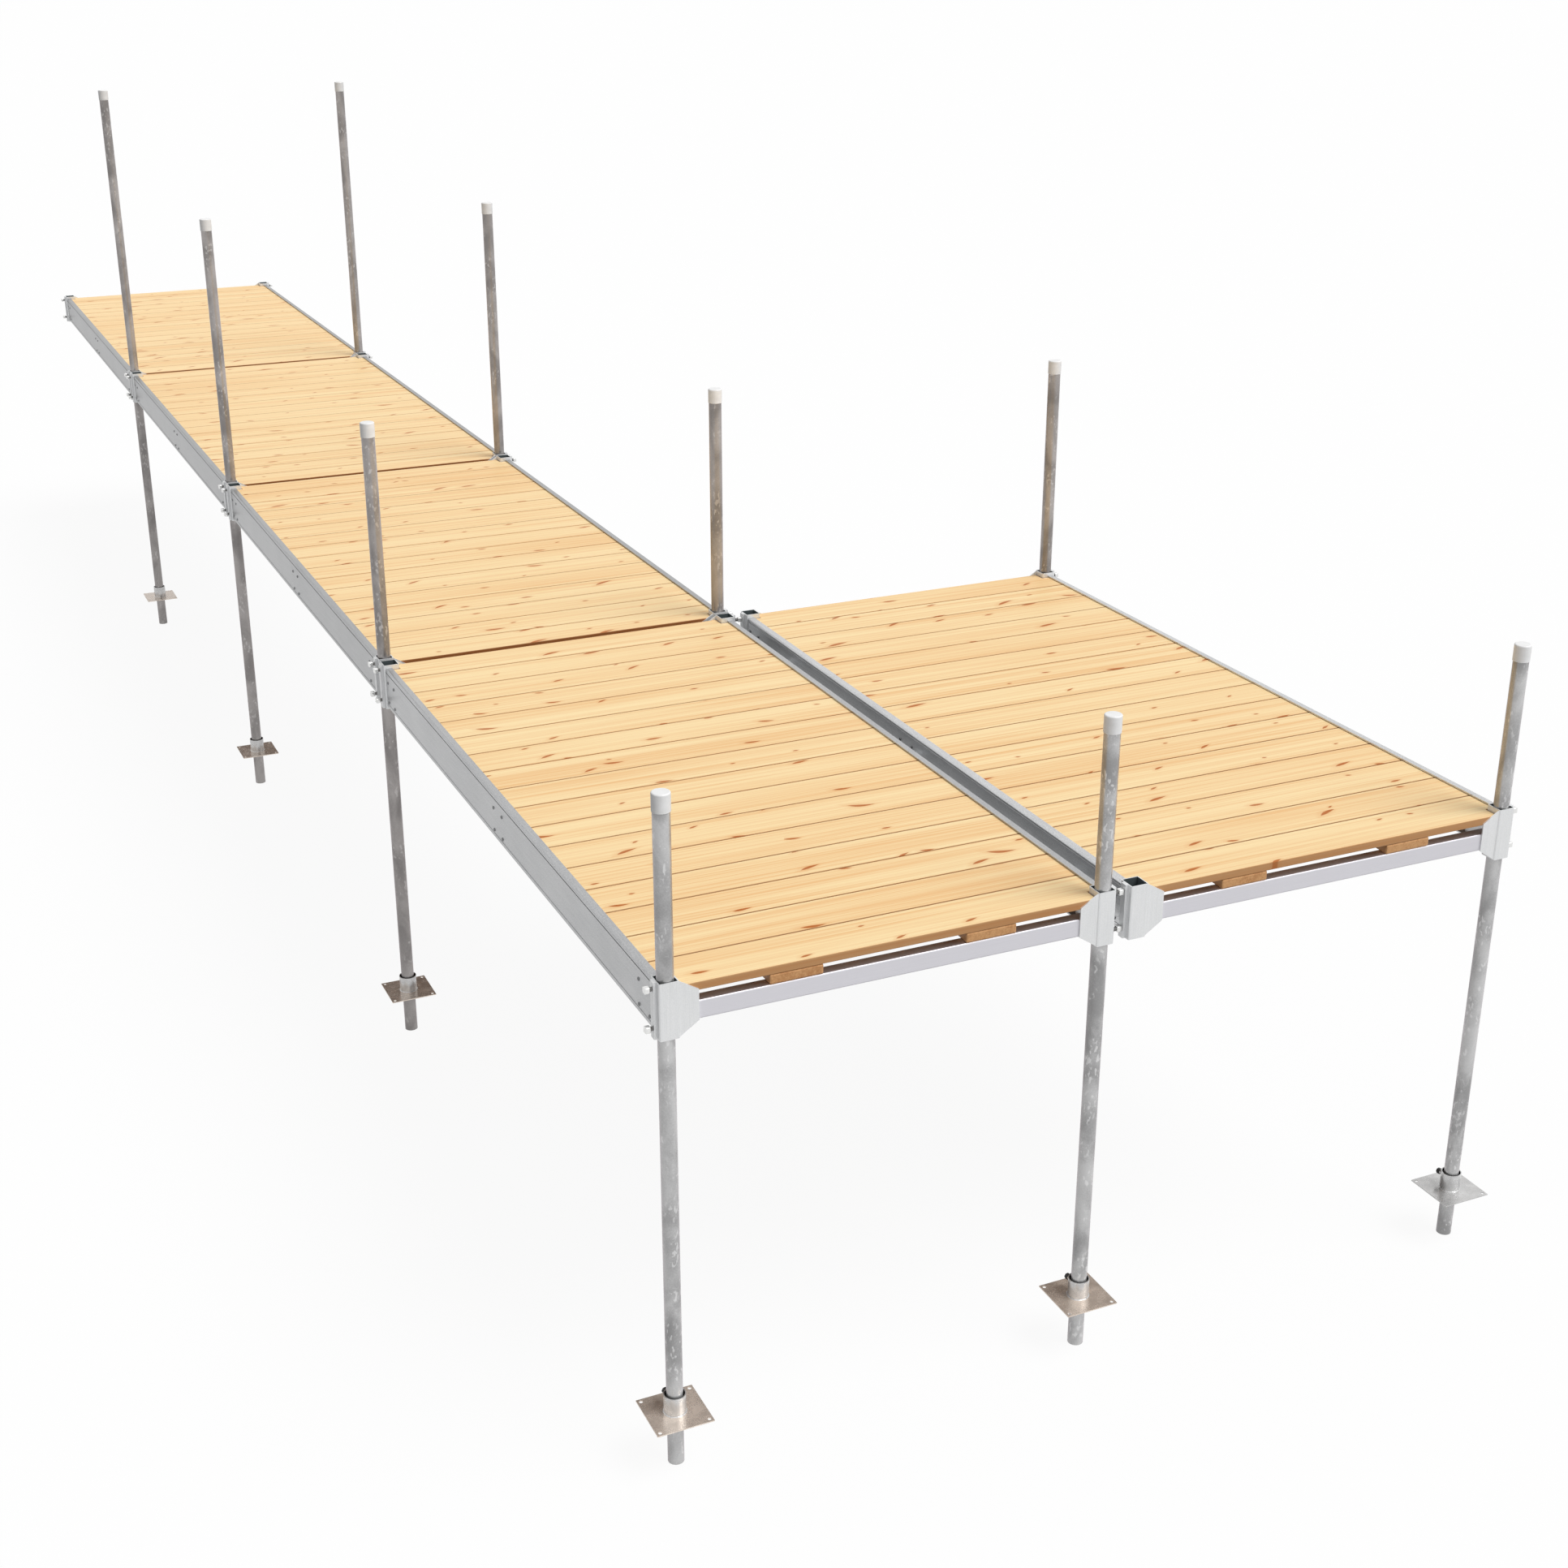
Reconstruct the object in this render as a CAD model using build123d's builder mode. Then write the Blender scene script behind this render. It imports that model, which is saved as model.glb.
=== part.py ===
"""Stationary sectional dock: four walkway sections in a row and one platform section beside the outer one,
aluminium frames decked with wood, carried on ten galvanised pipe legs that slide in corner brackets."""
import os

from build123d import *

# Layout of the sections (millimetres). X runs across the walkway, Y runs to the shore, Z is up.
leg_span = 1172.7          # between socket centres across a section
socket_run = 2405.6        # between socket centres along a section
joint_gap = 15.1           # between the sockets of walkway sections that follow one another
side_gap = 27.4            # between the bolt ribs of the walkway and the platform beside it
walkway_count = 4
bracket_top = 1364.0       # height of the bracket tops above the pipe tips

# Corner bracket, one extruded and trimmed piece.
socket_out = 50.8
socket_wall = 3.3
socket_corner_r = 4.5
bracket_h = 147.8
gusset_recess = 3.0
gusset_t = 4.0
gusset_reach = 49.5
gusset_lip = 2.0
gusset_drop_top = 32.2
gusset_drop_bottom = 112.4
rib_w = 20.0
rib_t = 8.0
tongue_t = 6.0
tongue_reach = 110.0
tongue_gap = 2.0

# Deck, battens and cross beams, stacked under the deck's top face.
deck_drop = 15.8
deck_t = 22.0
deck_side_gap = 1.3
deck_notch_gap = 1.6
board_gap = 4.3
batten_w = 139.5
batten_t = 26.2
batten_share = 0.446       # of half the leg span, from the middle line to a batten's centre
beam_size = 48.4
beam_depth = 36.0
beam_wall = 3.2
beam_corner_r = 4.0

# Side rail, one extruded profile; widths count outward from the socket centre line.
rail_drop = 10.2
rail_h = 127.0
rail_wall = 4.0
rail_out = 21.3
rail_in = 1.8
flange_gap = 1.2           # between the flange and the boards under it
nose_r = 7.0
groove_drop = 9.7
groove_h = 3.0
groove_deep = 2.4
lip_h = 10.0
lip_proud = 1.0
ledge_reach = 20.0
foot_reach = 19.0

# Couplers between the sections.
coupler_w = 36.0
coupler_share = 0.5        # of the bracket's height, at its foot
sleeve_d = 30.0
sleeve_drop = 96.0
sleeve_shares = (0.12, 0.5, 0.88)

# Legs, caps and foot plates.
pipe_d = 42.4
pipe_wall = 3.6
row_step = 305.5           # each row of legs towards the shore stands this much taller
outer_row_top = 464.0      # cap top of the outer row above the bracket tops
cap_wall = 1.5
cap_top_t = 3.0
cap_len = 46.0
cap_r = 4.0
plate_size = 152.4
plate_t = 3.2
plate_rise = 152.0         # plate's top face above the pipe tip
plate_hole_d = 10.0
plate_hole_edge = 10.4
collar_d = 57.2
collar_bore = 50.8
collar_h = 53.0
screw_d = 9.5
screw_out = 17.5
screw_drop = 18.0

# Places worked out from the sizes above.
half_socket = socket_out / 2
socket_in = socket_out - 2 * socket_wall
half_plate = plate_size / 2
section_pitch = socket_run + socket_out + joint_gap
side_step = socket_out + 2 * rib_t + side_gap
total_w = 2 * leg_span + side_step
x_wl = -total_w / 2
x_wr = x_wl + leg_span
x_pl = x_wr + side_step
x_pr = x_pl + leg_span
total_l = half_plate + (walkway_count - 1) * section_pitch + socket_run + half_socket
y_outer = -total_l / 2 + half_plate
gusset_back = half_socket - gusset_recess - gusset_t
deck_top = bracket_top - deck_drop
deck_bottom = deck_top - deck_t
beam_top = deck_bottom - batten_t
rail_top = bracket_top - rail_drop
rail_bottom = rail_top - rail_h
web_in = rail_out - rail_wall
flange_bottom = deck_top + flange_gap
ledge_bottom = deck_bottom - rail_wall
batten_offset = batten_share * leg_span / 2

# Left socket line, right socket line and outer socket row of each section, the shore section first.
sections = {}
for n in range(walkway_count):
    sections[f"walkway_{n + 1}"] = (x_wl, x_wr, y_outer + (walkway_count - 1 - n) * section_pitch)
sections["platform"] = (x_pl, x_pr, y_outer)

# Legs: name, place and how many steps taller than the outer row.
legs = []
for n in range(walkway_count):
    row_y = y_outer + (walkway_count - 1 - n) * section_pitch
    legs.append((f"left_leg_{n + 1}", x_wl, row_y, walkway_count - 1 - n))
    legs.append((f"right_leg_{n + 1}", x_wr, row_y, walkway_count - 1 - n))
legs.append(("platform_leg_outer", x_pr, y_outer, 0))
legs.append(("platform_leg_inner", x_pr, y_outer + socket_run, 1))


def upright(x, y, z):
    """A plane facing -Y with its own X along X and its own Y along Z."""
    return Plane(origin=(x, y, z), x_dir=(1, 0, 0), z_dir=(0, -1, 0))


os.makedirs("parts", exist_ok=True)

for name, (xl, xr, y0) in sections.items():
    y1 = y0 + socket_run
    x_mid = (xl + xr) / 2
    y_mid = (y0 + y1) / 2

    # Side rails: the profile drawn at the outer socket's inner face and run to the next socket.
    with BuildPart() as rails:
        for x, out in ((xl, -1), (xr, 1)):
            with BuildSketch(upright(x, y0 + half_socket, rail_top)) as profile:
                with BuildLine():
                    nose = (out * rail_out, -nose_r)
                    Polyline(
                        nose, (out * rail_out, -groove_drop), (out * (rail_out - groove_deep), -groove_drop),
                        (out * (rail_out - groove_deep), -groove_drop - groove_h),
                        (out * rail_out, -groove_drop - groove_h), (out * rail_out, lip_h - rail_h),
                        (out * (rail_out + lip_proud), lip_h - rail_h),
                        (out * (rail_out + lip_proud), -rail_h), (out * (web_in - foot_reach), -rail_h),
                        (out * (web_in - foot_reach), rail_wall - rail_h),
                        (out * web_in, rail_wall - rail_h), (out * web_in, ledge_bottom - rail_top),
                        (out * -ledge_reach, ledge_bottom - rail_top),
                        (out * -ledge_reach, deck_bottom - rail_top),
                        (out * web_in, deck_bottom - rail_top), (out * web_in, flange_bottom - rail_top),
                        (out * -rail_in, flange_bottom - rail_top), (out * -rail_in, 0),
                        (out * (rail_out - nose_r), 0))
                    RadiusArc((out * (rail_out - nose_r), 0), nose, out * nose_r)
                make_face()
            extrude(amount=-(socket_run - socket_out))
    rails.part.label = f"{name}_rails"
    export_step(rails.part, f"parts/{name}_rails.step")

    # Corner brackets: square socket, gusset plate, bolt rib and the tongue that runs into the rail.
    with BuildPart() as brackets:
        for x, out in ((xl, -1), (xr, 1)):
            for y, end in ((y0, -1), (y1, 1)):
                with BuildSketch(Plane.XY.offset(bracket_top - bracket_h)):
                    with Locations((x, y)):
                        RectangleRounded(socket_out, socket_out, socket_corner_r)
                    with Locations((x + out * (half_socket + rib_t / 2 - socket_wall / 2), y)):
                        Rectangle(rib_t + socket_wall, rib_w)
                    with Locations((x, y)):
                        Rectangle(socket_in, socket_in, mode=Mode.SUBTRACT)
                extrude(amount=bracket_h)
                with BuildSketch(upright(x, y + end * (half_socket - gusset_recess), bracket_top)):
                    root = -out * (half_socket - socket_wall / 2)
                    tip = -out * (half_socket + gusset_reach)
                    with BuildLine():
                        Polyline((root, -gusset_lip), (-out * half_socket, -gusset_lip),
                                 (tip, -gusset_drop_top), (tip, -gusset_drop_bottom),
                                 (-out * half_socket, gusset_lip - bracket_h),
                                 (root, gusset_lip - bracket_h), close=True)
                    make_face()
                extrude(amount=end * gusset_t)
                with BuildSketch(Plane.XY.offset(rail_bottom + rail_wall + tongue_gap)):
                    with Locations((x + out * (web_in - tongue_t / 2),
                                    y - end * (half_socket + tongue_reach / 2 - socket_wall / 2))):
                        Rectangle(tongue_t, tongue_reach + socket_wall)
                extrude(amount=ledge_bottom - rail_bottom - rail_wall - 2 * tongue_gap)
    brackets.part.label = f"{name}_corner_brackets"
    export_step(brackets.part, f"parts/{name}_corner_brackets.step")

    # Deck: the boards between the socket rows as one slab under the rail flanges, and at each end the
    # strip of the end board that lies between the sockets.
    strip_w = gusset_back + half_socket + deck_notch_gap - board_gap
    with BuildPart() as deck:
        with BuildSketch(Plane.XY.offset(deck_bottom)):
            with Locations((x_mid, y_mid)):
                Rectangle(leg_span + 2 * (web_in - deck_side_gap),
                          socket_run - socket_out - 2 * deck_notch_gap)
            with Locations((x_mid, y0 - gusset_back + strip_w / 2), (x_mid, y1 + gusset_back - strip_w / 2)):
                Rectangle(leg_span - socket_out - 2 * deck_notch_gap, strip_w)
        extrude(amount=deck_t)
    deck.part.label = f"{name}_deck"
    export_step(deck.part, f"parts/{name}_deck.step")

# Battens: two planks lengthwise under each deck, lying on the cross beams.
with BuildPart() as battens:
    for xl, xr, y0 in sections.values():
        with BuildSketch(Plane.XY.offset(beam_top)):
            with Locations(((xl + xr) / 2 - batten_offset, y0 + socket_run / 2),
                           ((xl + xr) / 2 + batten_offset, y0 + socket_run / 2)):
                Rectangle(batten_w, socket_run + 2 * gusset_back)
        extrude(amount=batten_t)
battens.part.label = "deck_battens"
export_step(battens.part, "parts/deck_battens.step")

# Cross beams: rectangular tubes, one behind each pair of gussets and one between the rails at mid-length.
with BuildPart() as beams:
    for xl, xr, y0 in sections.values():
        y1 = y0 + socket_run
        rows = ((y0 - gusset_back + beam_depth / 2, half_socket), ((y0 + y1) / 2, -web_in),
                (y1 + gusset_back - beam_depth / 2, half_socket))
        for y, start in rows:
            across = Plane(origin=(xl + start, y, beam_top - beam_size / 2), x_dir=(0, 1, 0), z_dir=(1, 0, 0))
            with BuildSketch(across):
                RectangleRounded(beam_depth, beam_size, beam_corner_r)
                Rectangle(beam_depth - 2 * beam_wall, beam_size - 2 * beam_wall, mode=Mode.SUBTRACT)
            extrude(amount=leg_span - 2 * start)
beams.part.label = "cross_beams"
export_step(beams.part, "parts/cross_beams.step")

# Section couplers: blocks screwed between the sockets that face each other at the walkway's joints.
with BuildPart() as couplers:
    for n in range(walkway_count - 1):
        y = y_outer + n * section_pitch + socket_run + half_socket + joint_gap / 2
        with BuildSketch(Plane.XY.offset(bracket_top - bracket_h)):
            with Locations((x_wl, y), (x_wr, y)):
                Rectangle(coupler_w, joint_gap)
        extrude(amount=coupler_share * bracket_h)
couplers.part.label = "section_couplers"
export_step(couplers.part, "parts/section_couplers.step")

# Platform couplers: sleeved bolts between the webs of the two rails that lie side by side.
with BuildPart() as sleeves:
    for share in sleeve_shares:
        y = y_outer + socket_run * share
        with BuildSketch(Plane(origin=(x_wr + rail_out, y, bracket_top - sleeve_drop), z_dir=(1, 0, 0))):
            Circle(sleeve_d / 2)
        extrude(amount=side_step - 2 * rail_out)
sleeves.part.label = "platform_couplers"
export_step(sleeves.part, "parts/platform_couplers.step")

for name, x, y, steps in legs:
    top = bracket_top + outer_row_top + steps * row_step
    pipe_len = top - cap_top_t

    # Leg: a galvanised pipe standing on its tip.
    with BuildPart() as pipe:
        with BuildSketch():
            with Locations((x, y)):
                Circle(pipe_d / 2)
                Circle(pipe_d / 2 - pipe_wall, mode=Mode.SUBTRACT)
        extrude(amount=pipe_len)
    pipe.part.label = name
    export_step(pipe.part, f"parts/{name}.step")

    # Cap: a plastic cup pushed over the pipe's top.
    with BuildPart() as cap:
        with BuildSketch(Plane.XY.offset(top - cap_len)):
            with Locations((x, y)):
                Circle(pipe_d / 2 + cap_wall)
        extrude(amount=cap_len)
        fillet(cap.edges().group_by(Axis.Z)[-1], cap_r)
        with BuildSketch(Plane.XY.offset(top - cap_len)):
            with Locations((x, y)):
                Circle(pipe_d / 2)
        extrude(amount=cap_len - cap_top_t, mode=Mode.SUBTRACT)
    cap.part.label = f"{name}_cap"
    export_step(cap.part, f"parts/{name}_cap.step")

    # Foot plate: a square plate with a welded collar, clamped to the pipe by one screw.
    with BuildPart() as foot:
        with BuildSketch(Plane.XY.offset(plate_rise - plate_t)):
            with Locations((x, y)):
                Rectangle(plate_size, plate_size)
        extrude(amount=plate_t)
        with BuildSketch(Plane.XY.offset(plate_rise)):
            with Locations((x, y)):
                Circle(collar_d / 2)
        extrude(amount=collar_h)
        with BuildSketch(Plane.XY.offset(plate_rise - plate_t)):
            with Locations((x, y)):
                Circle(collar_bore / 2)
                with GridLocations(plate_size - 2 * plate_hole_edge, plate_size - 2 * plate_hole_edge, 2, 2):
                    Circle(plate_hole_d / 2)
        extrude(amount=plate_t + collar_h, mode=Mode.SUBTRACT)
        screw_plane = Plane(origin=(x, y, plate_rise + collar_h - screw_drop), z_dir=(-1, 4, 0))
        with BuildSketch(screw_plane.offset(pipe_d / 2)):
            Circle(screw_d / 2)
        extrude(amount=(collar_d - pipe_d) / 2 + screw_out)
    foot.part.label = f"{name}_foot_plate"
    export_step(foot.part, f"parts/{name}_foot_plate.step")
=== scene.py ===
import math
import random

import bmesh
import bpy
from mathutils import Matrix, Vector


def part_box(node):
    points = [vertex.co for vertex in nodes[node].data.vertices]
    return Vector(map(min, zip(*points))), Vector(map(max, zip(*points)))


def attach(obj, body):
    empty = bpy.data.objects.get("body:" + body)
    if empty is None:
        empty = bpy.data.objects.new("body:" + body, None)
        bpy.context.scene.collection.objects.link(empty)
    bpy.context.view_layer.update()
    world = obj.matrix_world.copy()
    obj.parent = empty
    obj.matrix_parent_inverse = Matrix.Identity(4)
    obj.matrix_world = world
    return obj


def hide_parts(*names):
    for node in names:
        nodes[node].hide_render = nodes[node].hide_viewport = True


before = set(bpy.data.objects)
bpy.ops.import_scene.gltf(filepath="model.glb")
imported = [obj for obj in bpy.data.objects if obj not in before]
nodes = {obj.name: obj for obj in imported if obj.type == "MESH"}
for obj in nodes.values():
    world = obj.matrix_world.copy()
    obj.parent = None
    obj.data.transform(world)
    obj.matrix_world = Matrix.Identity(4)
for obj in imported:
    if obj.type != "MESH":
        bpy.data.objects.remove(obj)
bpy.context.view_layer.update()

scene = bpy.context.scene


# Camera: the dock is seen from above its outer left corner, with a 50 mm lens on a 36 mm sensor.
# The frame is square, and no shift is used.
look_down, look_right = 22.427, 24.473
camera_data = bpy.data.cameras.new("camera")
camera_data.lens = 50.04
camera_data.sensor_width = 36.0
camera_data.clip_end = 400.0
camera = bpy.data.objects.new("camera", camera_data)
camera.location = (-2.8106, -9.0372, 3.6772)
camera.rotation_euler = (math.radians(90 - look_down), 0, math.radians(-look_right))
scene.collection.objects.link(camera)
scene.camera = camera


# Side rails: two aluminium extrusions a section, mill finish, run between the corner brackets and riveted
# to their tongues. The die leaves fine lines along the length. Each section's skin is painted darker step by
# step towards the inner end, as painted shade standing for the darker reflections there.
section_names = ("walkway_1", "walkway_2", "walkway_3", "walkway_4", "platform")


class Field:
    """A node's socket that Python arithmetic works on: each operation adds its Math node."""

    def __init__(self, tree, socket):
        self.tree, self.socket = tree, socket

    def make(self, kind, settings=None, sockets=None, out=0):
        """Adds a node of that type with its settings first, then its sockets' values or links."""
        node = self.tree.nodes.new(kind)
        for key, value in (settings or {}).items():
            setattr(node, key, value)
        for key, value in (sockets or {}).items():
            self.put(node.inputs[key], value)
        return Field(self.tree, node.outputs[out])

    def put(self, target, value):
        """Links a field to a socket, or sets the socket's own value."""
        if isinstance(value, Field):
            self.tree.links.new(value.socket, target)
        else:
            target.default_value = value

    def ends_in(self, kind, target):
        """Links this field to an output node of that type, which closes the tree."""
        self.put(self.tree.nodes.new(kind).inputs[target], self)

    def also(self, out):
        """Another output of the same node."""
        return Field(self.tree, self.socket.node.outputs[out])

    def maths(self, operation, a, b=0.0):
        return self.make("ShaderNodeMath", {"operation": operation}, {0: a, 1: b})

    def __add__(self, other):
        return self.maths("ADD", self, other)

    __radd__ = __add__

    def __sub__(self, other):
        return self.maths("SUBTRACT", self, other)

    def __rsub__(self, other):
        return self.maths("SUBTRACT", other, self)

    def __mul__(self, other):
        return self.maths("MULTIPLY", self, other)

    __rmul__ = __mul__

    def __truediv__(self, other):
        return self.maths("DIVIDE", self, other)

    def __abs__(self):
        return self.maths("ABSOLUTE", self)

    def split(self):
        """A vector's X, Y and Z."""
        x = self.make("ShaderNodeSeparateXYZ", {}, {0: self})
        return x, x.also(1), x.also(2)

    def step(self, low, high):
        """0 below low, 1 above high and smooth between them."""
        return self.make("ShaderNodeMapRange", {"interpolation_type": "SMOOTHSTEP"},
                         {"Value": self, "From Min": low, "From Max": high})

    def stretched(self, scale, turn=(0.0, 0.0, 0.0)):
        return self.make("ShaderNodeMapping", {}, {"Vector": self, "Rotation": turn, "Scale": scale})

    def noise(self, scale, detail=2.0, distortion=0.0, turn=(0.0, 0.0, 0.0)):
        """Noise from 0 to 1 over coordinates that are turned, and stretched by scale, counted per metre."""
        return self.make("ShaderNodeTexNoise", {}, {"Vector": self.stretched(scale, turn), "Scale": 1.0,
                                                    "Detail": detail, "Distortion": distortion})

    def between(self, a, b):
        """The colour a where this is 0, and b where it is 1."""
        return self.make("ShaderNodeMix", {"data_type": "RGBA"}, {0: self, 6: a, 7: b}, out=2)

    def bump(self, strength, depth):
        return self.make("ShaderNodeBump", {}, {"Height": self, "Strength": strength, "Distance": depth})


def place_in(material):
    """The piece's own coordinates, to draw a finish with."""
    tree = material.node_tree
    return Field(tree, tree.nodes.new("ShaderNodeTexCoord").outputs["Object"])


def finish_of(name):
    """A new material, its shader, and the piece's own coordinates."""
    material = bpy.data.materials.new(name)
    material.use_nodes = True
    return material, material.node_tree.nodes["Principled BSDF"], place_in(material)


def drawn_out(along, run, across):
    """A pattern's counts per metre, with one count along an axis and another across it."""
    return tuple(run if axis == along else across for axis in "xyz")


def aluminium(name, dull, bright, metal, rough, along, grain, sockets=None):
    """Extruded aluminium: drawn lines along one axis over a fine grain, with painted shade inside any sockets
    given.
    """
    material, shader, place = finish_of(name)
    lines = place.noise(drawn_out(along, 9.0, 480.0))
    speckle = place.noise(drawn_out(along, 340.0, 460.0))
    cloud = place.noise((5.0, 5.0, 5.0), 3.0)
    tone = (lines - 0.5) * 0.6 + (speckle - 0.5) * grain + (cloud - 0.5) * 0.4 + 0.5
    skin = tone.step(0.1, 0.9).between(dull, bright)
    if sockets:
        centre, spread, reach, fade, inside = sockets
        x, y, _ = place.split()
        off_x, off_y = abs(abs(x - centre.x) - spread.x), abs(abs(y - centre.y) - spread.y)
        furthest = off_x.maths("MAXIMUM", off_x, off_y)
        skin = furthest.step(reach + fade, reach).between(skin, inside)
    place.put(shader.inputs["Base Color"], skin)
    place.put(shader.inputs["Roughness"], rough + (speckle - 0.5) * 0.2)
    place.put(shader.inputs["Normal"], (lines * 0.5 + speckle).bump(0.15, 0.0005))
    shader.inputs["Metallic"].default_value = metal
    shader.inputs["Specular IOR Level"].default_value = 0.3
    return material


def coat(node_name, finish):
    """Gives a solid its finish, in place of any that it came with."""
    materials = nodes[node_name].data.materials
    materials.clear()
    materials.append(finish)


rail_dull, rail_bright = (0.66, 0.67, 0.685), (0.97, 0.975, 0.98)
# Painted shade: each section's rail colours are scaled by these factors, darker towards the inner end.
rail_painted_dimming = {"walkway_1": 0.38, "walkway_2": 0.41, "walkway_3": 0.45, "walkway_4": 0.54, "platform": 0.72}
for section in section_names:
    dull, bright = (tuple(c * rail_painted_dimming[section] for c in tint) + (1,) for tint in (rail_dull, rail_bright))
    coat(f"{section}_rails", aluminium(f"{section}_rail_aluminium", dull, bright,
                                       metal=0.94, rough=0.33, along="y", grain=1.9))


# Corner brackets: one paler aluminium extrusion each, cut to length and trimmed, with the die's lines
# upright. The socket takes a leg, and its inside is painted dark as painted shade; the gusset backs the cross
# beam, and the tongue is riveted inside the rail.
half_socket, socket_wall, rib_reach = 0.0254, 0.0033, 0.0080
inside_reach, inside_fade = half_socket - socket_wall + 0.0002, 0.0003
bracket_dull, bracket_bright = (0.71, 0.72, 0.725, 1), (0.815, 0.82, 0.825, 1)
# Painted shade: the dark colour inside each socket.
socket_painted_shade = (0.17, 0.20, 0.21, 1)
for section in section_names:
    low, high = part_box(f"{section}_corner_brackets")
    spread = (high - low) / 2 - Vector((rib_reach + half_socket, half_socket, 0))
    coat(f"{section}_corner_brackets", aluminium(
        f"{section}_bracket_aluminium", bracket_dull, bracket_bright,
        metal=0.55, rough=0.40, along="z", grain=0.8,
        sockets=((low + high) / 2, spread, inside_reach, inside_fade, socket_painted_shade)))


# Cross beams: smooth rectangular aluminium tubes, one behind each pair of gussets and one at mid-length.
# Their skin is brighter and cooler than the rails', and their tops are rubbed to bare metal by the battens.
beam_dull, beam_bright = (0.72, 0.71, 0.755, 1), (0.755, 0.745, 0.79, 1)
beam_metal, bare_metal = 0.12, 0.98
bare_from, bare_to = 0.0012, 0.0002
beam_finish = aluminium("beam_aluminium", beam_dull, beam_bright,
                        metal=beam_metal, rough=0.42, along="x", grain=0.15)
height = place_in(beam_finish).split()[2]
beam_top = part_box("cross_beams")[1].z
bare = height.step(beam_top - bare_from, beam_top - bare_to)
bare.put(beam_finish.node_tree.nodes["Principled BSDF"].inputs["Metallic"],
         beam_metal + bare * (bare_metal - beam_metal))
coat("cross_beams", beam_finish)


# Couplers: aluminium blocks screwed between facing sockets, and sleeved bolts between the two rails that lie
# side by side. They are cut from bar and left bare.
coupler_finish = aluminium("coupler_aluminium", (0.60, 0.61, 0.62, 1), (0.72, 0.73, 0.74, 1),
                           metal=0.9, rough=0.45, along="z", grain=0.4)
for name in ("section_couplers", "platform_couplers"):
    coat(name, coupler_finish)


# Deck boards: seventeen planed pine boards to a section, laid across it with their ends under the rails'
# flanges. The two end boards are notched round the sockets. Each board has its own grain, tone and knots.
board_count, board_width, board_edge, notch_gap = 17, 0.1402, 0.0022, 0.0016
board_pale, board_peach = (0.965, 0.745, 0.405, 1), (0.85, 0.515, 0.228, 1)
# Painted shade: the boards' sides and ends are darkened towards the dark tint below, by these shares along
# the seams, at the joints between sections and on the outer end's face.
painted_shade_tint, stain_tint, knot_tint = (0.36, 0.13, 0.034, 1), (0.78, 0.40, 0.15, 1), (0.46, 0.115, 0.0, 1)
seam_painted_shade, inner_end_painted_shade, outer_end_painted_shade = 0.8, 1.0, 0.78
grain_shift, first_seed = 20.0, 11


def knots(at):
    """Small slanting knots on the flat, one to a cell of a board-wide pattern, and the stain round each.

    A knot is a lens that is turned, sized and bent its own way. About a quarter of the cells are bare.
    """
    run, across = 4.8, 7.4
    shortest, longer_by, thinnest, thicker_by = 0.010, 0.036, 0.0026, 0.13
    flat = at.stretched((run, across, 0.0))
    cell = flat.make("ShaderNodeTexVoronoi", {"voronoi_dimensions": "2D", "feature": "F1"},
                     {"Vector": flat, "Scale": 1.0, "Randomness": 0.95}, out="Position")
    turn_by = cell.make("ShaderNodeSeparateColor", {}, {0: cell.also("Color")})
    size_by, bare_by = turn_by.also(1), turn_by.also(2)
    offset = flat.make("ShaderNodeVectorMath", {"operation": "SUBTRACT"}, {0: flat, 1: cell})
    off_run, off_across, _ = offset.split()
    ahead, aside = off_run / run, off_across / across
    turn = turn_by * 0.75 - 0.25
    cos, sin = turn.maths("COSINE", turn), turn.maths("SINE", turn)
    lengthwise = ahead * cos + aside * sin
    bend = lengthwise * lengthwise * (turn_by - 0.5) * 9.0
    sideways = aside * cos - ahead * sin + bend
    length = shortest + size_by * size_by.maths("SQRT", size_by) * longer_by
    ratio = lengthwise / length
    taper = 1.0 - ratio * 0.45
    width = (length * thicker_by + thinnest) * taper.maths("MAXIMUM", taper, 0.2)
    lens = 1.0 - ratio * ratio - abs(sideways) / width
    shows = bare_by.step(0.26, 0.27)
    return lens.step(0.0, 0.45) * shows, (lens + 2.0).step(0.0, 2.0) * shows


def pine(name, along, on_boards, pale, peach):
    """Planed pine with long bands and streaks along the grain; boards also have knots, and painted shade on
    their sides and ends.
    """
    material, shader, place = finish_of(name)
    at = place
    if on_boards:
        shift = place.make("ShaderNodeAttribute", {"attribute_name": "board_shift"}, out="Vector")
        at = place.make("ShaderNodeVectorMath", {"operation": "ADD"}, {0: place, 1: shift})
    band = at.noise(drawn_out(along, 0.5, 62.0), 2.0, 0.35)
    streak = at.noise(drawn_out(along, 1.5, 260.0), 3.0, 0.1)
    broad = at.noise(drawn_out(along, 0.6, 8.0))
    tone = ((band - 0.5) * 1.2 + (streak - 0.5) * 1.5 + (broad - 0.5) * 0.9 + 0.43).step(0.0, 1.0)
    wood = tone.between(pale, peach)
    if on_boards:
        knot, stain = knots(at)
        painted_side_shade = place.make("ShaderNodeAttribute", {"attribute_name": "board_edge"}, out="Fac")
        wood = (stain * 0.3).between(wood, stain_tint)
        wood = (knot * (0.88 + band * 0.2)).between(wood, knot_tint)
        # Painted shade on the boards' sides and ends.
        wood = painted_side_shade.between(wood, painted_shade_tint)
    place.put(shader.inputs["Base Color"], wood)
    place.put(shader.inputs["Roughness"], 0.48 + tone * 0.12)
    place.put(shader.inputs["Normal"], (streak * 0.7 + band * 0.3).bump(0.18, 0.0006))
    shader.inputs["Specular IOR Level"].default_value = 0.45
    return material


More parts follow.
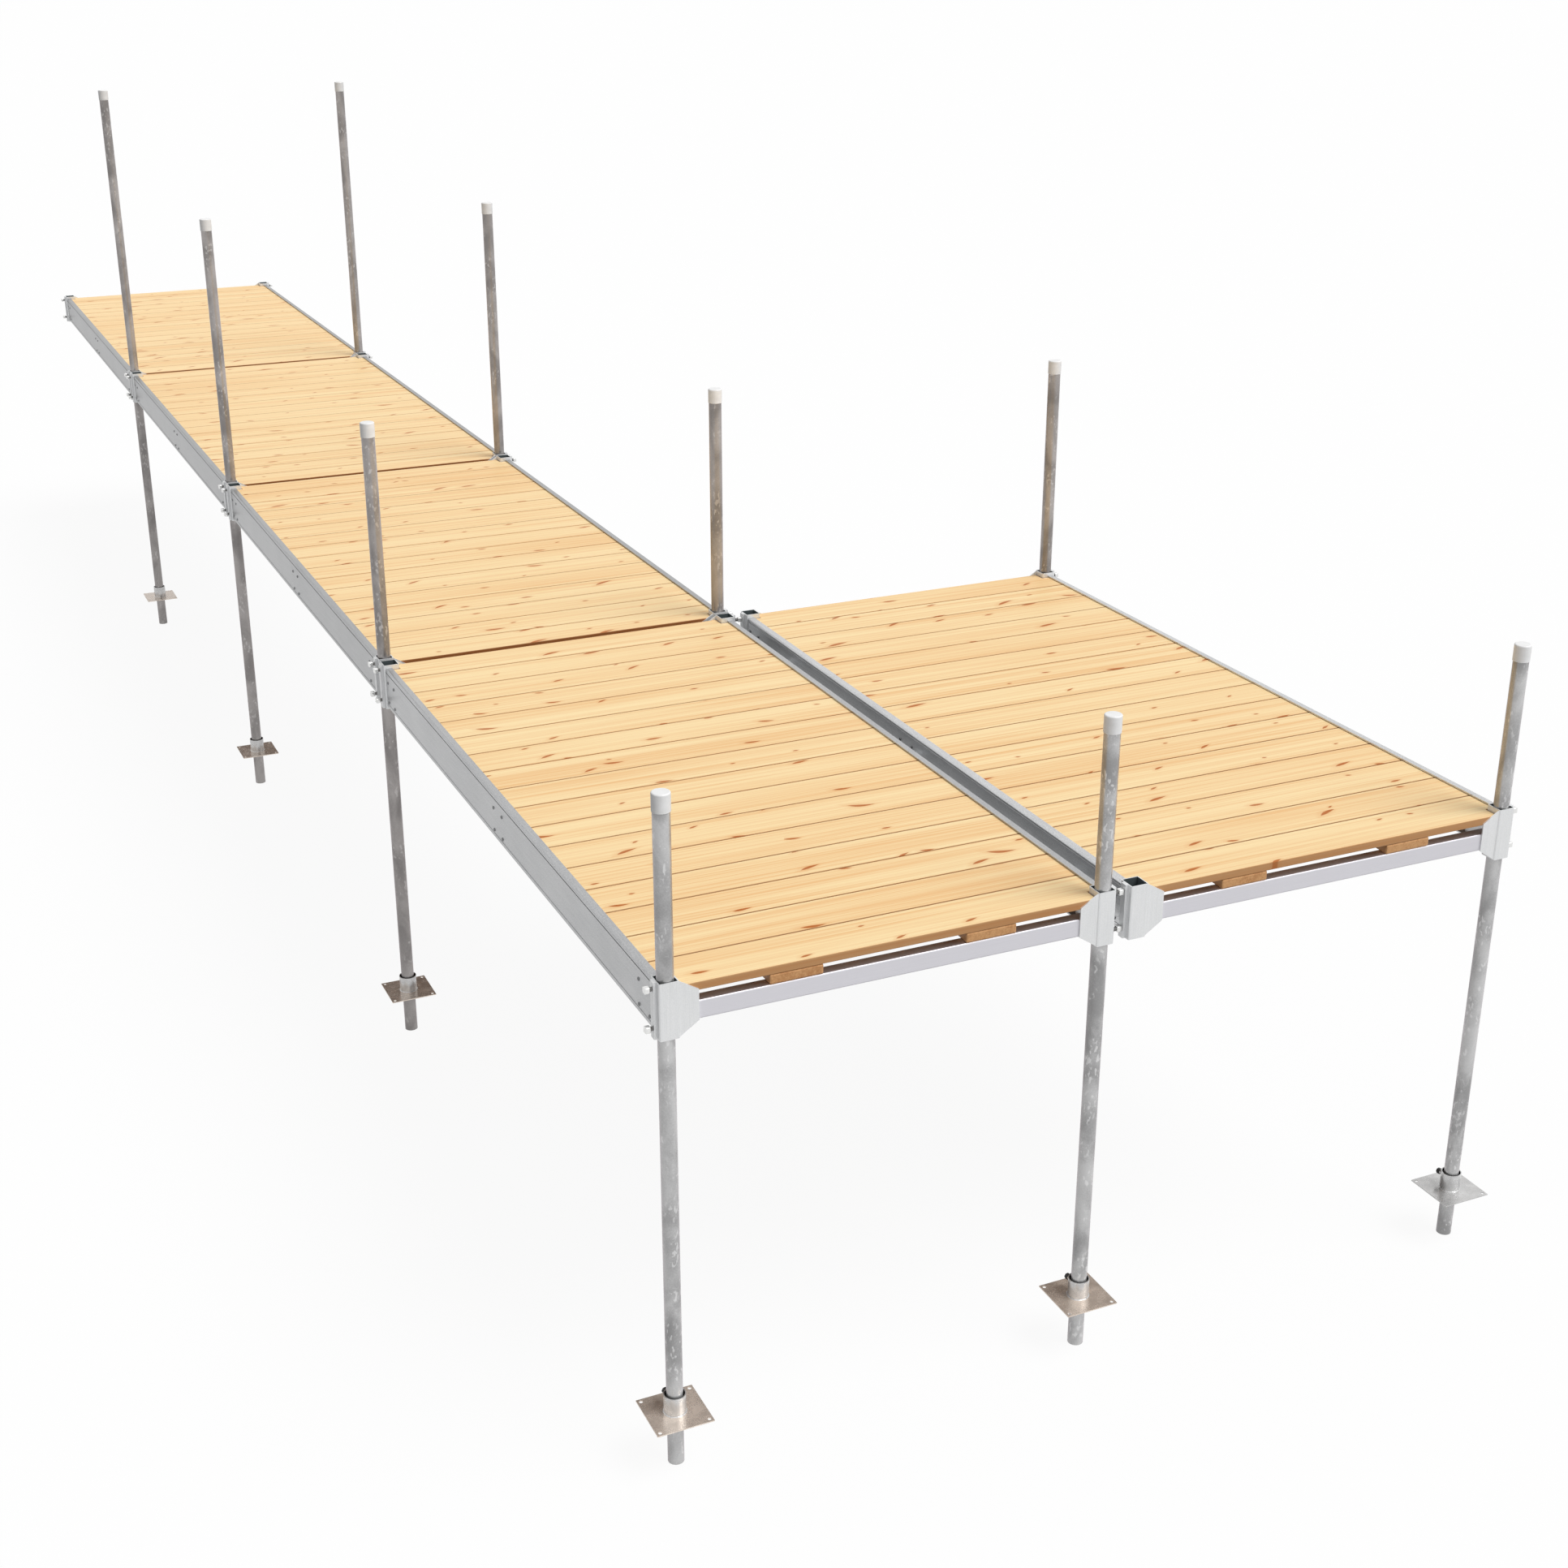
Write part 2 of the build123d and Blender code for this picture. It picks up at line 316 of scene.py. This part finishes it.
def plank(name, outline, thickness, edge, seam_painted_shade, end_painted_shade):
    """A plank cut to an outline with eased edges, marked for painted shade on its sides and ends; its top
    face lies at zero height.
    """
    mesh = bpy.data.meshes.new(name)
    bm = bmesh.new()
    face = bm.faces.new([bm.verts.new((x, y, -thickness)) for x, y in outline])
    raised = bmesh.ops.extrude_face_region(bm, geom=[face])["geom"]
    top = [part for part in raised if isinstance(part, bmesh.types.BMVert)]
    bmesh.ops.translate(bm, vec=(0, 0, thickness), verts=top)
    bmesh.ops.recalc_face_normals(bm, faces=bm.faces[:])
    bmesh.ops.bevel(bm, geom=bm.edges[:], offset=edge, segments=2, profile=0.5, affect="EDGES")
    bm.to_mesh(mesh)
    bm.free()
    painted_side_shade = mesh.attributes.new("board_edge", "FLOAT", "POINT")
    # The mark is painted shade on the sides and ends, scaled by its share.
    front = min(y for x, y in outline) + edge * 2
    for vertex, mark in zip(mesh.vertices, painted_side_shade.data):
        buried = min(vertex.co.z / -edge * 3.0, 1.0)  # whole from a third of the eased edge down
        mark.value = buried * (end_painted_shade if vertex.co.y < front else seam_painted_shade)
    piece = bpy.data.objects.new(name, mesh)
    scene.collection.objects.link(piece)
    return piece


def new_tree(name, wanted):
    """A geometry tree with its two geometry sockets and the named inputs asked for, and its input field."""
    tree = bpy.data.node_groups.new(name, "GeometryNodeTree")
    for side in ("OUTPUT", "INPUT"):
        tree.interface.new_socket("Geometry", in_out=side, socket_type="NodeSocketGeometry")
    for label, kind in wanted.items():
        tree.interface.new_socket(label, in_out="INPUT", socket_type=kind)
    return tree, Field(tree, tree.nodes.new("NodeGroupInput").outputs["Geometry"])


def close_tree(given, copies):
    """Makes a geometry tree's copies real and gives them their finish."""
    real = given.make("GeometryNodeRealizeInstances", {}, {0: copies})
    dressed = given.make("GeometryNodeSetMaterial", {}, {"Geometry": real, "Material": given.also("Finish")})
    dressed.ends_in("NodeGroupOutput", 0)


def run_tree(name, base, tree, values):
    """Puts a geometry tree on a mesh, sets its inputs, and keeps what it makes as a plain mesh."""
    piece = bpy.data.objects.new(name, base)
    scene.collection.objects.link(piece)
    modifier = piece.modifiers.new("make", "NODES")
    modifier.node_group = tree
    for item in tree.interface.items_tree:
        if item.in_out == "INPUT" and item.name in values:
            modifier[item.identifier] = values[item.name]
    bpy.context.view_layer.update()
    made = bpy.data.meshes.new_from_object(piece.evaluated_get(bpy.context.evaluated_depsgraph_get()))
    piece.modifiers.clear()
    piece.data = made
    made.name = name
    return piece


board_tree, given = new_tree("lay_boards", {
    "Board": "NodeSocketObject", "End Board": "NodeSocketObject", "Boards": "NodeSocketInt",
    "Pitch": "NodeSocketFloat", "First Board": "NodeSocketVector", "Seed": "NodeSocketInt",
    "Finish": "NodeSocketMaterial"})
pitch = given.make("ShaderNodeCombineXYZ", {}, {"Y": given.also("Pitch")})
row = given.make("GeometryNodeMeshLine", {}, {
    "Count": given.also("Boards"), "Start Location": given.also("First Board"), "Offset": pitch})
number = given.make("GeometryNodeInputIndex")
equal = {"data_type": "INT", "operation": "EQUAL"}
is_first = given.make("FunctionNodeCompare", equal, {2: number})
is_last = given.make("FunctionNodeCompare", equal, {2: number, 3: given.also("Boards") - 1.0})
is_end = given.make("FunctionNodeBooleanMath", {"operation": "OR"}, {0: is_first, 1: is_last})
is_inner = given.make("FunctionNodeBooleanMath", {"operation": "NOT"}, {0: is_end})
half_turn = given.make("ShaderNodeCombineXYZ", {}, {"Z": is_last * math.pi})
joined = given.make("GeometryNodeJoinGeometry")
for label, chosen, turned in (("Board", is_inner, {}), ("End Board", is_end, {"Rotation": half_turn})):
    source = given.make("GeometryNodeObjectInfo", {}, {"Object": given.also(label)}, out="Geometry")
    laid = given.make("GeometryNodeInstanceOnPoints", {},
                      {"Points": row, "Selection": chosen, "Instance": source} | turned)
    given.put(joined.socket.node.inputs[0], laid)
shift = given.make("FunctionNodeRandomValue", {"data_type": "FLOAT_VECTOR"}, {
    "Min": (-grain_shift,) * 3, "Max": (grain_shift,) * 3, "Seed": given.also("Seed")})
shifted = given.make("GeometryNodeStoreNamedAttribute", {"data_type": "FLOAT_VECTOR", "domain": "INSTANCE"},
                     {"Geometry": joined, "Name": "board_shift", "Value": shift})
close_tree(given, shifted)

deck_pine = pine("deck_pine", "x", True, board_pale, board_peach)
for seed, section in enumerate(section_names, first_seed):
    low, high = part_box(f"{section}_deck")
    brackets_low, brackets_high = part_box(f"{section}_corner_brackets")
    half_run = (high.x - low.x) / 2
    half_notch = (brackets_high.x - brackets_low.x) / 2 - rib_reach - 2 * half_socket - notch_gap
    outer, inner = -board_width / 2, board_width / 2
    shoulder = outer + (brackets_low.y + 2 * half_socket + notch_gap) - low.y
    board = plank("board", [(-half_run, outer), (half_run, outer), (half_run, inner), (-half_run, inner)],
                  high.z - low.z, board_edge, seam_painted_shade, seam_painted_shade)
    end_board = plank("end_board", [(-half_notch, outer), (half_notch, outer), (half_notch, shoulder),
                                    (half_run, shoulder), (half_run, inner), (-half_run, inner),
                                    (-half_run, shoulder), (-half_notch, shoulder)],
                      high.z - low.z, board_edge, seam_painted_shade,
                      outer_end_painted_shade if section in ("walkway_4", "platform") else inner_end_painted_shade)
    boards = run_tree(f"{section}_boards", bpy.data.meshes.new("seat"), board_tree, {
        "Board": board, "End Board": end_board, "Boards": board_count,
        "Pitch": (high.y - low.y - board_width) / (board_count - 1),
        "First Board": ((low.x + high.x) / 2, low.y + board_width / 2, high.z), "Seed": seed,
        "Finish": deck_pine})
    for pattern in (board, end_board):
        bpy.data.objects.remove(pattern)
    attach(boards, "dock_frame")
    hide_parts(f"{section}_deck")


# Battens: two pine planks lengthwise under each deck, resting on the three cross beams and screwed to the
# boards. Their sawn ends show at the outer end of the dock.
batten_edge, batten_width = 0.004, 0.1395
# Painted shade: the battens' pine is a darker copy of the deck's, for the shade under the deck.
batten_painted_shade_pale, batten_painted_shade_brown = (0.62, 0.34, 0.15, 1), (0.44, 0.20, 0.075, 1)
batten_pine = pine("batten_pine", "y", False, batten_painted_shade_pale, batten_painted_shade_brown)

place_tree, given = new_tree("set_in_place", {"Piece": "NodeSocketObject", "Finish": "NodeSocketMaterial"})
source = given.make("GeometryNodeObjectInfo", {}, {"Object": given.also("Piece")}, out="Geometry")
turn = given.make("GeometryNodeInputNamedAttribute", {"data_type": "FLOAT_VECTOR"}, {"Name": "turn"})
laid = given.make("GeometryNodeInstanceOnPoints", {}, {"Points": given, "Instance": source, "Rotation": turn})
close_tree(given, laid)


def set_out(name, piece, places, finish):
    """Copies of one piece at the given places, each (point, turn about Z)."""
    base = bpy.data.meshes.new("places")
    base.from_pydata([tuple(point) for point, _ in places], [], [])
    turns = base.attributes.new("turn", "FLOAT_VECTOR", "POINT")
    turns.data.foreach_set("vector", [v for _, angle in places for v in (0.0, 0.0, angle)])
    made = run_tree(name, base, place_tree, {"Piece": piece, "Finish": finish})
    bpy.data.objects.remove(piece)
    return made


low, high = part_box("deck_battens")
first_low, first_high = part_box("walkway_1_deck")
offset = low.x + batten_width / 2 - (first_low.x + first_high.x) / 2
batten_places = []
for section in section_names:
    deck_low, deck_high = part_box(f"{section}_deck")
    middle_x, middle_y = (deck_low.x + deck_high.x) / 2, (deck_low.y + deck_high.y) / 2
    batten_places += [((middle_x + side * offset, middle_y, high.z), 0.0) for side in (-1, 1)]
half_w, half_l = batten_width / 2, (deck_high.y - deck_low.y) / 2
batten = plank("batten", [(-half_w, -half_l), (half_w, -half_l), (half_w, half_l), (-half_w, half_l)],
               high.z - low.z, batten_edge, 0.0, 0.0)
battens = set_out("battens", batten, batten_places, batten_pine)
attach(battens, "dock_frame")
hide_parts("deck_battens")


# Set bolts: two square-headed zinc-plated bolts in the rib of each bracket, screwed through to grip the leg.
# The platform's two brackets beside the walkway go without; the walkway's own stand further out there,
# filling the gap.
bolt_drops = (0.020, 0.122)
joint_bolt_out = 0.0062
head_across, head_start, head_end, head_edge = 0.0155, 0.0395, 0.0535, 0.0022
shank_r, shank_start, shank_sides = 0.0060, 0.02135, 16
thread_pitch, thread_depth = 0.0018, 0.0007
neck_under, neck_into = 0.0006, 0.001


def plated(name, dull, bright, metal):
    """Zinc plate on a small turned or forged piece, faintly mottled."""
    material, shader, place = finish_of(name)
    mottle = place.noise((160.0, 160.0, 160.0), 3.0)
    place.put(shader.inputs["Base Color"], mottle.between(dull, bright))
    place.put(shader.inputs["Roughness"], 0.14 + mottle * 0.12)
    shader.inputs["Metallic"].default_value = metal
    return material


zinc = plated("bolt_zinc", (0.70, 0.70, 0.69, 1), (0.92, 0.92, 0.91, 1), 0.8)
# Painted shade: the threads' zinc is painted dark, for the shade under the heads.
thread_painted_shade = plated("thread_zinc_painted_shade", (0.16, 0.155, 0.15, 1), (0.30, 0.295, 0.29, 1), 0.9)


def turned_rings(bm, profile, sides, axis_matrix):
    """A closed turned body about an axis from (distance along, radius) pairs."""
    rings = []
    for along, radius in profile:
        rings.append([bm.verts.new(axis_matrix @ Vector((along, radius * math.cos(a), radius * math.sin(a))))
                      for a in (2 * math.pi * i / sides for i in range(sides))])
    for near, far in zip(rings, rings[1:]):
        for i in range(sides):
            j = (i + 1) % sides
            bm.faces.new((near[i], near[j], far[j], far[i]))
    bm.faces.new(rings[0])
    bm.faces.new(rings[-1])


def solid_piece(name, bm, smooth_deg=35):
    """Closes a built body into an object with outward faces, smooth but for its real edges."""
    bmesh.ops.recalc_face_normals(bm, faces=bm.faces[:])
    mesh = bpy.data.meshes.new(name)
    bm.to_mesh(mesh)
    bm.free()
    mesh.shade_smooth()
    mesh.set_sharp_from_angle(angle=math.radians(smooth_deg))
    piece = bpy.data.objects.new(name, mesh)
    scene.collection.objects.link(piece)
    return piece


bm = bmesh.new()
profile = [(shank_start, shank_r - thread_depth)]
spot = shank_start + thread_pitch
while spot < head_start - thread_pitch:
    profile += [(spot, shank_r), (spot + thread_pitch / 2, shank_r - thread_depth)]
    spot += thread_pitch
profile += [(head_start - neck_under, shank_r), (head_start + neck_into, shank_r)]
turned_rings(bm, profile, shank_sides, Matrix.Identity(4))
thread = solid_piece("thread", bm)
bm = bmesh.new()
head_place = Matrix.Translation(((head_start + head_end) / 2, 0, 0))
head_size = Matrix.Diagonal((head_end - head_start, head_across, head_across, 1))
bmesh.ops.create_cube(bm, size=1.0, matrix=head_place @ head_size)
bmesh.ops.bevel(bm, geom=bm.edges[:], offset=head_edge, segments=3, profile=0.5, affect="EDGES")
head = solid_piece("head", bm)
bolt_places = []
for section in section_names:
    low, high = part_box(f"{section}_corner_brackets")
    for x, angle in ((low.x + rib_reach + half_socket, math.pi), (high.x - rib_reach - half_socket, 0.0)):
        if section == "platform" and angle:
            continue
        if section == "walkway_4" and not angle:
            x += joint_bolt_out
        for y in (low.y + half_socket, high.y - half_socket):
            bolt_places += [((x, y, high.z - drop), angle) for drop in bolt_drops]
for name, piece, finish in (("set_bolt_heads", head, zinc), ("set_bolt_threads", thread, thread_painted_shade)):
    bolts = set_out(name, piece, bolt_places, finish)
    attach(bolts, "dock_frame")


# Rivets: domed aluminium rivets through each rail, four into every bracket's tongue and four at the middle
# beam. Their heads are pulled tight on the web's outer face.
rivet_r, rivet_rise, rivet_sunk, rivet_rim, rivet_sides = 0.0054, 0.0032, 0.001, 0.0004, 12
rivet_dome = ((0.6, 0.82), (0.9, 0.5), (1.0, 0.15))
rivet_inset = (0.0235, 0.0915)
rivet_middle = 0.037
rivet_drops = (0.0415, 0.1078)
lip_proud = 0.001
# Painted reflection: the rivets' aluminium is painted dark, for the dark surroundings their domes mirror.
rivet_painted_reflection = aluminium("rivet_aluminium_painted_dark", (0.13, 0.133, 0.136, 1), (0.22, 0.223, 0.226, 1),
                         metal=0.95, rough=0.22, along="x", grain=0.3)
bm = bmesh.new()
profile = [(-rivet_sunk, rivet_r), (rivet_rim, rivet_r)]
profile += [(rivet_rise * up, rivet_r * wide) for up, wide in rivet_dome]
turned_rings(bm, profile, rivet_sides, Matrix.Identity(4))
rivet = solid_piece("rivet", bm, smooth_deg=60)
rivet_places = []
for section in section_names:
    low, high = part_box(f"{section}_rails")
    middle = (low.y + high.y) / 2
    rows = [low.y + inset for inset in rivet_inset] + [high.y - inset for inset in rivet_inset]
    rows += [middle - rivet_middle, middle + rivet_middle]
    for x, angle in ((low.x + lip_proud, math.pi), (high.x - lip_proud, 0.0)):
        rivet_places += [((x, y, high.z - drop), angle) for y in rows for drop in rivet_drops]
rivets = set_out("rail_rivets", rivet, rivet_places, rivet_painted_reflection)
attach(rivets, "dock_frame")


# Legs: hot-dip galvanised pipes standing on their open tips, each gripped by its bracket's two set bolts.
# The zinc has pale feathered patches over a soft grey. On all but the three outermost legs it is painted
# darker, as painted shade.
leg_names = [f"{side}_leg_{n}" for n in range(1, 5) for side in ("left", "right")]
leg_names += ["platform_leg_outer", "platform_leg_inner"]


def galvanised(name, dull, bright, feather):
    """Dipped zinc in soft clouds, with slanted feathered flakes gathered in patches."""
    material, shader, place = finish_of(name)
    cloud = place.noise((12.0, 12.0, 7.0), 3.0, 0.6)
    flake = place.noise((115.0, 115.0, 62.0), 1.0, 0.3, turn=(0.3, 0.75, 0.2))
    cluster = place.noise((17.0, 17.0, 11.0))
    fine = place.noise((240.0, 240.0, 240.0))
    patch = flake.step(0.55, 0.66) * cluster.step(0.47, 0.60) + fine.step(0.69, 0.75) * 0.5
    tone = (cloud - 0.5) * 2.3 + (fine - 0.5) * 0.4 + 0.5
    grey = tone.step(0.0, 1.0).between(dull, bright)
    place.put(shader.inputs["Base Color"], (patch * 0.52).between(grey, feather))
    place.put(shader.inputs["Roughness"], 0.25 - patch * 0.04 + (fine - 0.5) * 0.10)
    place.put(shader.inputs["Normal"], (flake * 0.4 + fine * 0.6).bump(0.08, 0.0005))
    shader.inputs["Specular Tint"].default_value = (0.92, 0.84, 0.88, 1)
    shader.inputs["Metallic"].default_value = 0.5
    return material


outermost_leg_zinc = galvanised("galvanised_pipe", dull=(0.32, 0.32, 0.32, 1), bright=(0.61, 0.61, 0.61, 1),
                      feather=(0.88, 0.88, 0.88, 1))
# Painted shade: a darker copy of the pipe zinc for the legs further in.
painted_shade_leg_zinc = galvanised("galvanised_pipe_painted_shade", dull=(0.245, 0.232, 0.226, 1), bright=(0.455, 0.432, 0.42, 1),
                      feather=(0.68, 0.66, 0.65, 1))
for leg in leg_names:
    coat(leg, outermost_leg_zinc if leg.endswith(("_4", "_outer")) else painted_shade_leg_zinc)


# Caps: white vinyl cups, moulded with a faint grain and a satin skin.
# Each is pushed over the top of a pipe and holds by its own grip.
cap_white, cap_soiled = (0.88, 0.88, 0.88, 1), (0.82, 0.82, 0.815, 1)
cap_vinyl, shader, place = finish_of("cap_vinyl")
grain = place.noise((300.0, 300.0, 300.0))
soil = place.noise((30.0, 30.0, 60.0), 3.0)
place.put(shader.inputs["Base Color"], soil.step(0.3, 0.8).between(cap_white, cap_soiled))
place.put(shader.inputs["Roughness"], 0.38 + grain * 0.12)
place.put(shader.inputs["Normal"], grain.bump(0.06, 0.0004))
for leg in leg_names:
    coat(f"{leg}_cap", cap_vinyl)


# Foot plates: square galvanised plates, each with a collar welded on and one clamp screw through a welded
# nut. They spread the load under a leg. Their zinc is tinted by side as painted light: the walkway's are
# brownish, a painted reflection of the wooden deck, the left ones painted brighter and the platform's
# painted darker as painted shade.
plate_t, collar_r, collar_bore_r, bead_r = 0.0032, 0.0286, 0.0254, 0.0021
bead_steps, bead_sides, bead_ripples = 72, 8, 18
collar_from, collar_to = collar_r + 0.004, collar_r + 0.001
gap_from, gap_to = collar_bore_r + 0.0008, collar_bore_r + 0.0003
plate_dull, plate_bright = 0.62, 0.86
# Painted light: per-side tints for painted reflection of the deck, a painted brighter left side and painted
# shade.
plate_painted_light_tints = {"left": (1.14, 1.00, 0.88), "right": (1.00, 0.86, 0.74), "platform": (0.79, 0.785, 0.78)}
collar_dull, collar_bright, gap_painted_shade = (0.50, 0.50, 0.50, 1), (0.76, 0.76, 0.76, 1), (0.02, 0.02, 0.02, 1)


def plate_finish(name, axis, tint):
    """Bright zinc with soft clouds, with painted shade in the gap between the collar and the pipe on its
    axis.
    """
    material, shader, place = finish_of(name)
    cloud = place.noise((24.0, 24.0, 24.0), 4.0, 0.5)
    blotch = place.noise((70.0, 70.0, 70.0), 3.0, 0.8)
    fine = place.noise((340.0, 340.0, 340.0))
    tone = ((cloud - 0.5) * 1.0 + (blotch - 0.5) * 0.6 + (fine - 0.5) * 0.3 + 0.5).step(0.0, 1.0)
    dull, bright = (tuple(level * t for t in tint) + (1,) for level in (plate_dull, plate_bright))
    x, y, _ = place.split()
    off_x, off_y = x - axis.x, y - axis.y
    radius = off_x.maths("SQRT", off_x * off_x + off_y * off_y)
    collar, gap = radius.step(collar_from, collar_to), radius.step(gap_from, gap_to)
    skin = collar.between(tone.between(dull, bright), tone.between(collar_dull, collar_bright))
    # Painted shade in the gap round the pipe.
    place.put(shader.inputs["Base Color"], gap.between(skin, gap_painted_shade))
    place.put(shader.inputs["Roughness"], 0.26 + (cloud - 0.5) * 0.2 + (fine - 0.5) * 0.1)
    place.put(shader.inputs["Normal"], (cloud * 0.6 + fine * 0.2).bump(0.10, 0.0008))
    shader.inputs["Metallic"].default_value = 0.6
    return material


black_screw, shader, place = finish_of("screw_black")
mottle = place.noise((200.0, 200.0, 200.0), 3.0)
place.put(shader.inputs["Base Color"], mottle.between((0.010, 0.010, 0.010, 1), (0.035, 0.034, 0.033, 1)))
place.put(shader.inputs["Roughness"], 0.35 + mottle * 0.2)
shader.inputs["Metallic"].default_value = 0.3

screw_drop, neck_end, head_top, head_r, neck_r = 0.018, 0.0350, 0.0465, 0.0088, 0.0072
neck_start, head_foot, head_crown = collar_r - 0.0015, 0.001, 0.002
neck_sides, head_sides = 24, 6
screw_turn = math.atan2(4.0, -1.0)
for leg in leg_names:
    low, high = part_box(leg)
    axis = Vector(((low.x + high.x) / 2, (low.y + high.y) / 2, 0.0))
    plate_low, plate_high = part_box(f"{leg}_foot_plate")
    plate_top = plate_low.z + plate_t
    plate_zinc = plate_finish(f"{leg}_plate_zinc", axis, plate_painted_light_tints[leg.split("_")[0]])
    coat(f"{leg}_foot_plate", plate_zinc)

    random.seed(leg)
    bm = bmesh.new()
    rings = []
    for i in range(bead_steps):
        a = 2 * math.pi * i / bead_steps
        swell = bead_r * (1.0 + 0.07 * math.sin(a * bead_ripples) + random.uniform(-0.04, 0.04))
        centre = axis + Vector((collar_r * math.cos(a), collar_r * math.sin(a), plate_top))
        ring = []
        for s in range(bead_sides):
            b = 2 * math.pi * s / bead_sides
            out = Vector((swell * math.cos(b) * math.cos(a), swell * math.cos(b) * math.sin(a),
                          swell * math.sin(b)))
            ring.append(bm.verts.new(centre + out))
        rings.append(ring)
    for i in range(bead_steps):
        near, far = rings[i], rings[(i + 1) % bead_steps]
        for s in range(bead_sides):
            t = (s + 1) % bead_sides
            bm.faces.new((near[s], near[t], far[t], far[s]))
    bead = solid_piece(f"{leg}_weld_bead", bm, smooth_deg=80)
    bead.data.materials.append(plate_zinc)
    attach(bead, f"{leg}_body")

    screw_at = axis + Vector((0, 0, plate_high.z - screw_drop))
    spin = Matrix.Translation(screw_at) @ Matrix.Rotation(screw_turn, 4, "Z")
    bm = bmesh.new()
    turned_rings(bm, [(neck_start, neck_r), (neck_end, neck_r)], neck_sides, spin)
    neck = solid_piece(f"{leg}_screw_nut", bm)
    neck.data.materials.append(plate_zinc)
    bm = bmesh.new()
    turned_rings(bm, [(neck_end, head_r * 0.9), (neck_end + head_foot, head_r),
                      (head_top - head_crown, head_r), (head_top, head_r * 0.82)], head_sides, spin)
    head = solid_piece(f"{leg}_screw_head", bm, smooth_deg=20)
    head.data.materials.append(black_screw)
    for piece in (neck, head):
        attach(piece, f"{leg}_body")


# Floor, lamps and sky: a pale floor under a soft key lamp from the front right, a low strip lamp in front,
# a weak lamp above the inner end, and a white sky. The floor and sky show white to the camera and in
# reflections, and the floor keeps a faint shadow.
reach, floor_drop = 150.0, 0.001
floor_dim, floor_white, white_share = (0.13, 0.13, 0.13, 1), (0.9, 0.9, 0.9, 1), 0.93
floor_mesh = bpy.data.meshes.new("floor")
corners = [(-reach, -reach, 0), (reach, -reach, 0), (reach, reach, 0), (-reach, reach, 0)]
floor_mesh.from_pydata(corners, [], [(0, 1, 2, 3)])
floor = bpy.data.objects.new("floor", floor_mesh)
floor.location.z = -floor_drop
scene.collection.objects.link(floor)


def shown_white(tree):
    """Clears a tree, and is 1 for the rays that show white: seen, reflected or through glass."""
    tree.nodes.clear()
    ray = Field(tree, tree.nodes.new("ShaderNodeLightPath").outputs["Is Camera Ray"])
    return (ray + ray.also("Is Glossy Ray") + ray.also("Is Transmission Ray")).step(0.0, 1.0)


floor_pale = bpy.data.materials.new("floor_pale")
floor_pale.use_nodes = True
seen = shown_white(floor_pale.node_tree)
diffuse = seen.make("ShaderNodeBsdfDiffuse", {}, {"Color": seen.between(floor_dim, floor_white)})
white = seen.make("ShaderNodeEmission", {}, {"Color": (1, 1, 1, 1), "Strength": 1.0})
mixed = seen.make("ShaderNodeMixShader", {}, {0: seen * white_share, 1: diffuse, 2: white})
mixed.ends_in("ShaderNodeOutputMaterial", "Surface")
floor_mesh.materials.append(floor_pale)


def lamp(name, kind, energy, settings):
    """A studio lamp with its settings; an area lamp is hidden, so that only its light shows."""
    data = bpy.data.lights.new(name, kind)
    data.energy = energy
    for key, value in settings.items():
        setattr(data, key, value)
    made = bpy.data.objects.new(name, data)
    scene.collection.objects.link(made)
    if kind == "AREA":
        made.visible_camera = made.visible_glossy = False
    return made


key = lamp("key", "SUN", 2.28, {"angle": math.radians(34)})
key.rotation_euler = Vector((-0.42, 0.42, -1.0)).to_track_quat("-Z", "Y").to_euler()
front = lamp("front", "AREA", 620.0, {"shape": "RECTANGLE", "size": 20.0, "size_y": 2.4})
front.location = (0.0, -18.0, 1.2)
front.rotation_euler = (math.radians(90), 0, 0)
back = lamp("back", "AREA", 7.0, {"shape": "SQUARE", "size": 6.0})
back.location = (-0.6, 5.5, 6.0)

sky_light = 0.37
scene.world = bpy.data.worlds.new("sky")
scene.world.use_nodes = True
seen = shown_white(scene.world.node_tree)
sky = seen.make("ShaderNodeBackground", {}, {"Color": (1, 1, 1, 1), "Strength": sky_light})
white = seen.make("ShaderNodeBackground", {}, {"Color": (1, 1, 1, 1), "Strength": 1.0})
seen.make("ShaderNodeMixShader", {}, {0: seen, 1: sky, 2: white}).ends_in("ShaderNodeOutputWorld", "Surface")

scene.view_settings.view_transform = "Standard"
